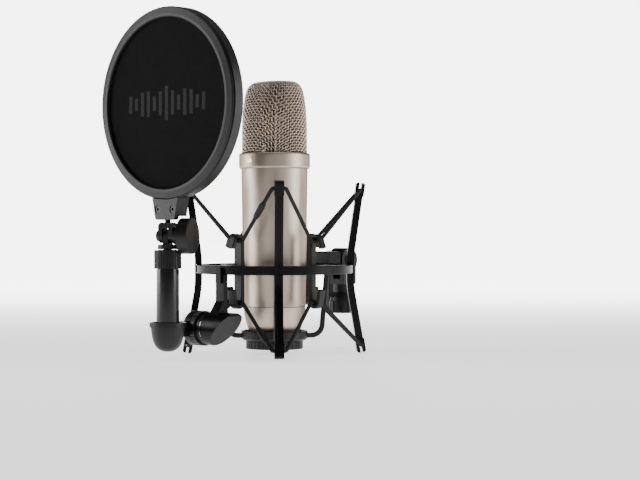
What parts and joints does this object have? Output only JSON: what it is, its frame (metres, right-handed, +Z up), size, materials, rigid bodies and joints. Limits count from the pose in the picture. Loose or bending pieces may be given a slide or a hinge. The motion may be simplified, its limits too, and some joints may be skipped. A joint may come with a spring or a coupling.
{
  "type": "studio condenser microphone",
  "caption": "Side-address studio microphone in an elastic shock mount, with a round pop filter on a folding arm and a tilting threaded stand adapter.",
  "frame": {"origin": "centre of the stand thread's mouth, on the underside of the stand adapter", "axes": "+Z up along the stand's axis, -Y to the front of the microphone and the pop filter, +X to the right seen from the front"},
  "size_m": [0.1343, 0.2006, 0.2453],
  "materials": {
    "satin_nickel": "satin, fine bead-blasted nickel plate",
    "grille_wire": "woven wire, satin nickel",
    "gold": "polished gold",
    "brass": "machined",
    "bright_steel": "bright",
    "dark_steel": "blackened",
    "board": "solder mask",
    "components": "gloss",
    "black_insulator": "moulded",
    "soft_rubber": "matte",
    "cradle_plastic": "fine moulded grain",
    "cage_plastic": "fine moulded grain",
    "elastic_cord": "braided",
    "splice_rubber": "satin",
    "adapter_plastic": "moulded",
    "lock_plastic": "moulded",
    "pole_gloss": "gloss black",
    "bezel_plastic": "satin moulded",
    "hoop_plastic": "satin moulded",
    "filter_fabric": "fine open weave"
  },
  "bodies": {
    "stand_adapter": {"adapter_body": "adapter_plastic", "thread_insert": "brass", "pivot_bolt": "dark_steel"},
    "tension_lever": {"tension_lever": "adapter_plastic"},
    "cage": {"cage_ring": "cage_plastic", "cage_strut_front_left": "cage_plastic", "cage_strut_front_right": "cage_plastic", "cage_strut_rear_right": "cage_plastic", "cage_strut_rear_left": "cage_plastic", "upper_elastic": "elastic_cord", "lower_elastic": "elastic_cord", "upper_splice": "splice_rubber", "lower_splice": "splice_rubber", "rear_bracket": "cage_plastic", "arm_hanger": "cage_plastic", "swing_axle": "dark_steel", "swing_washer": "bright_steel"},
    "cradle": {"base_flange": "cradle_plastic", "flange_gasket": "soft_rubber", "cradle_ring": "cradle_plastic", "cradle_arms": "cradle_plastic", "hook_strut_front": "cradle_plastic", "hook_strut_right": "cradle_plastic", "hook_strut_rear": "cradle_plastic", "hook_strut_left": "cradle_plastic", "grille_mesh": "grille_wire", "grille_lining": "grille_wire", "grille_collar": "satin_nickel", "front_marker": "gold", "body_sleeve": "satin_nickel", "base_cup": "satin_nickel", "capsule_backplate": "brass", "capsule_rings": "brass", "capsule_diaphragms": "gold", "capsule_screws": "bright_steel", "capsule_saddle": "black_insulator", "saddle_dampers": "soft_rubber", "head_plate": "dark_steel", "chassis_rails": "dark_steel", "circuit_board": "board", "board_components": "components", "xlr_insert": "black_insulator", "xlr_pins": "bright_steel", "chassis_screws": "bright_steel"},
    "retaining_ring": {"retaining_ring": "cradle_plastic"},
    "swing_lock": {"swing_lock_ring": "lock_plastic"},
    "filter_arm": {"elbow_cup": "lock_plastic", "outer_pole": "pole_gloss"},
    "pole_collar": {"pole_collar": "lock_plastic"},
    "inner_pole": {"inner_pole": "pole_gloss"},
    "knuckle": {"knuckle_tongue": "lock_plastic", "tilt_bolt": "dark_steel"},
    "tilt_knob": {"tilt_knob": "lock_plastic"},
    "tilt_yoke": {"tilt_yoke": "lock_plastic"},
    "filter": {"filter_bezel": "bezel_plastic", "filter_hoop": "hoop_plastic", "filter_cloth": "filter_fabric", "filter_bracket": "lock_plastic", "bracket_block": "lock_plastic", "bracket_screws": "dark_steel"}
  },
  "joints": [
    {"name": "cage_tilt", "type": "hinge", "parent": "stand_adapter", "child": "cage", "pos_m": [0, 0, 0.0405], "axis": [1, 0, 0], "range_deg": [-45, 27]},
    {"name": "lever_turn", "type": "hinge", "parent": "stand_adapter", "child": "tension_lever", "pos_m": [-0.0109, 0, 0.0405], "axis": [1, 0, 0], "range_deg": [-10, 90]},
    {"name": "cradle_bounce", "type": "slide", "parent": "cage", "child": "cradle", "axis": [0, 0, 1], "range_m": [-0.0025, 0.003], "stiffness_N_per_m": 1500, "springref_m": 0.002, "deforming": ["upper_elastic", "upper_splice", "lower_elastic", "lower_splice"]},
    {"name": "retaining_ring_turn", "type": "hinge", "parent": "cradle", "child": "retaining_ring", "pos_m": [0, -0.078, -0.0196], "axis": [0, 0, 1], "continuous": true},
    {"name": "swing_lock_turn", "type": "hinge", "parent": "cage", "child": "swing_lock", "pos_m": [-0.0133, -0.137, -0.0065], "axis": [1, 0, 0], "range_deg": [0, 90]},
    {"name": "arm_swing", "type": "hinge", "parent": "cage", "child": "filter_arm", "pos_m": [-0.0209, -0.137, -0.0065], "axis": [1, 0, 0], "range_deg": [-10, 90]},
    {"name": "collar_turn", "type": "hinge", "parent": "filter_arm", "child": "pole_collar", "pos_m": [-0.0101, -0.1775, 0.043], "axis": [0, 0, 1], "range_deg": [0, 120]},
    {"name": "pole_height", "type": "slide", "parent": "filter_arm", "child": "inner_pole", "axis": [0, 0, 1], "range_m": [0, 0.03]},
    {"name": "knuckle_swivel", "type": "hinge", "parent": "inner_pole", "child": "knuckle", "pos_m": [-0.0101, -0.1775, 0.0515], "axis": [0, 0, 1], "range_deg": [-90, 90]},
    {"name": "tilt_knob_turn", "type": "hinge", "parent": "knuckle", "child": "tilt_knob", "pos_m": [0.00371, -0.17192, 0.0595], "axis": [0.9272, 0.3746, 0], "range_deg": [0, 180]},
    {"name": "filter_tilt", "type": "hinge", "parent": "knuckle", "child": "tilt_yoke", "pos_m": [-0.0101, -0.1775, 0.0595], "axis": [-0.9272, -0.3746, 0], "range_deg": [-60, 30]},
    {"name": "filter_swivel", "type": "hinge", "parent": "tilt_yoke", "child": "filter", "pos_m": [-0.0101, -0.1775, 0.0745], "axis": [0, 0, 1], "range_deg": [-45, 45]}
  ]
}
